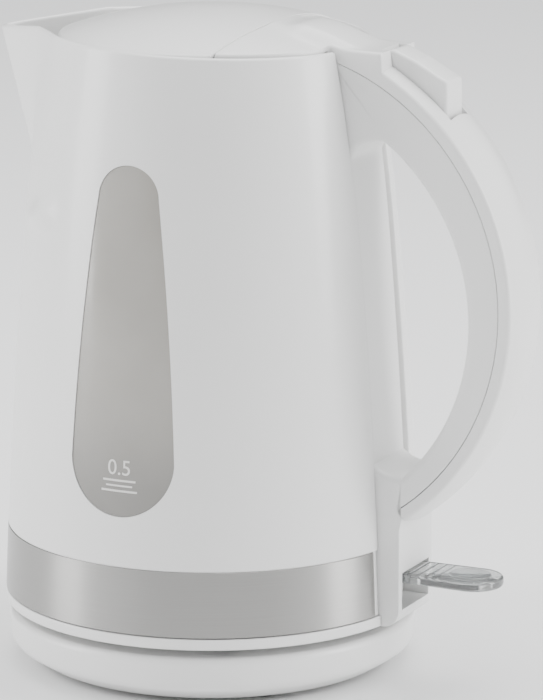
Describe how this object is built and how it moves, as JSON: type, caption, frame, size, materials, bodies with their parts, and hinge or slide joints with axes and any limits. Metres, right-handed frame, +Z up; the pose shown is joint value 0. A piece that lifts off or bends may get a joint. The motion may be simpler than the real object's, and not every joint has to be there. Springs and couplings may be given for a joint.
{
  "type": "electric kettle",
  "caption": "Cordless jug kettle on a round power base: tapered white body, side windows, steel band, loop handle, domed hinged lid, thumb release and rear switch lever.",
  "frame": {"origin": "centre of the round power base, at the underside of its rubber feet", "axes": "+Z up, the spout points to -X, the handle and switch are on +X, +Y is the kettle's left side seen from behind the handle"},
  "size_m": [0.2049, 0.1478, 0.2327],
  "materials": {
    "white_plastic": "satin-gloss moulded polypropylene",
    "white_plastic_matt": "plain moulded polypropylene",
    "black_plastic": "glass-filled nylon, matt",
    "smoke_window": "smoky translucent copolyester, polished",
    "clear_plastic": "clear polycarbonate, polished",
    "brushed_band": "stainless strip, brushed along its length",
    "rubber_foot": "matt rubber",
    "silicone": "translucent white silicone",
    "brass_contact": "plated brass, burnished",
    "steel_plate": "stainless sheet",
    "aluminium_spreader": "rolled aluminium",
    "bimetal": "bimetal strip",
    "steel_small": "zinc-plated steel",
    "lamp_glass": "small neon tube",
    "lead_insulation": "silicone lead insulation"
  },
  "bodies": {
    "power_base": {"base_connector": "black_plastic", "base_contact_earth": "brass_contact", "base_contact_live": "brass_contact", "base_contact_neutral": "brass_contact", "base_cover": "white_plastic", "base_plate": "white_plastic_matt", "base_screws": "steel_small", "cord_gland": "black_plastic", "foot_1": "rubber_foot", "foot_2": "rubber_foot", "foot_3": "rubber_foot", "foot_4": "rubber_foot"},
    "connector": {"kettle_connector": "black_plastic", "connector_pin": "brass_contact", "connector_ring_inner": "brass_contact", "connector_ring_outer": "brass_contact"},
    "jug": {"bottom_cover": "white_plastic", "bottom_screws": "steel_small", "button_pin": "steel_small", "button_spring": "steel_small", "control_body": "black_plastic", "control_screws": "steel_small", "dry_boil_disc_left": "bimetal", "dry_boil_disc_right": "bimetal", "filter_frame": "white_plastic_matt", "filter_mesh": "steel_plate", "handle_cover": "white_plastic", "handle_inner": "white_plastic", "heat_spreader": "aluminium_spreader", "heater_plate": "steel_plate", "heater_seal": "silicone", "heating_element": "steel_plate", "hinge_bracket": "white_plastic", "hinge_pin": "steel_small", "jug_shell": "white_plastic", "lamp_leads": "lead_insulation", "latch_spring": "steel_small", "lever_pin": "steel_small", "lid_spring": "steel_small", "pilot_lamp": "lamp_glass", "plate_ring": "steel_plate", "rocker_pin": "steel_small", "steam_disc": "bimetal", "steam_tube": "silicone", "switch_frame": "white_plastic_matt", "trim_band": "brushed_band", "window_left": "smoke_window", "window_right": "smoke_window"},
    "lid": {"lid_cover": "white_plastic", "lid_inner": "white_plastic", "lid_seal": "silicone", "lid_screws": "steel_small"},
    "button": {"release_button": "white_plastic"},
    "latch": {"latch_slider": "black_plastic"},
    "lever": {"switch_lever": "clear_plastic"},
    "rocker": {"trip_rocker": "black_plastic"}
  },
  "joints": [
    {"name": "lift_off", "type": "slide", "parent": "power_base", "child": "connector", "axis": [0, 0, 1], "range_m": [0, 0.06]},
    {"name": "base_swivel", "type": "hinge", "parent": "connector", "child": "jug", "pos_m": [0, 0, 0.034], "axis": [0, 0, 1], "continuous": true},
    {"name": "lid_hinge", "type": "hinge", "parent": "jug", "child": "lid", "pos_m": [0.038, 0, 0.219], "axis": [0, 1, 0], "range_deg": [0, 70]},
    {"name": "button_press", "type": "hinge", "parent": "jug", "child": "button", "pos_m": [0.0715, 0, 0.2084], "axis": [0, 1, 0], "range_deg": [0, 12], "stiffness_Nm_per_rad": 0.5, "springref_deg": -2.86},
    {"name": "latch_slide", "type": "slide", "parent": "jug", "child": "latch", "axis": [1, 0, 0], "range_m": [0, 0.0013]},
    {"name": "lever_switch", "type": "hinge", "parent": "jug", "child": "lever", "pos_m": [0.0734, 0, 0.039], "axis": [0, 1, 0], "range_deg": [0, 15]},
    {"name": "rocker_trip", "type": "hinge", "parent": "jug", "child": "rocker", "pos_m": [0.0549, 0, 0.0424], "axis": [0, 1, 0], "range_deg": [-22, 0]}
  ],
  "couplings": [
    {"joint": "latch_slide", "follows": "button_press", "m_per_rad": 0.0056},
    {"joint": "rocker_trip", "follows": "lever_switch", "ratio": -1.45}
  ]
}
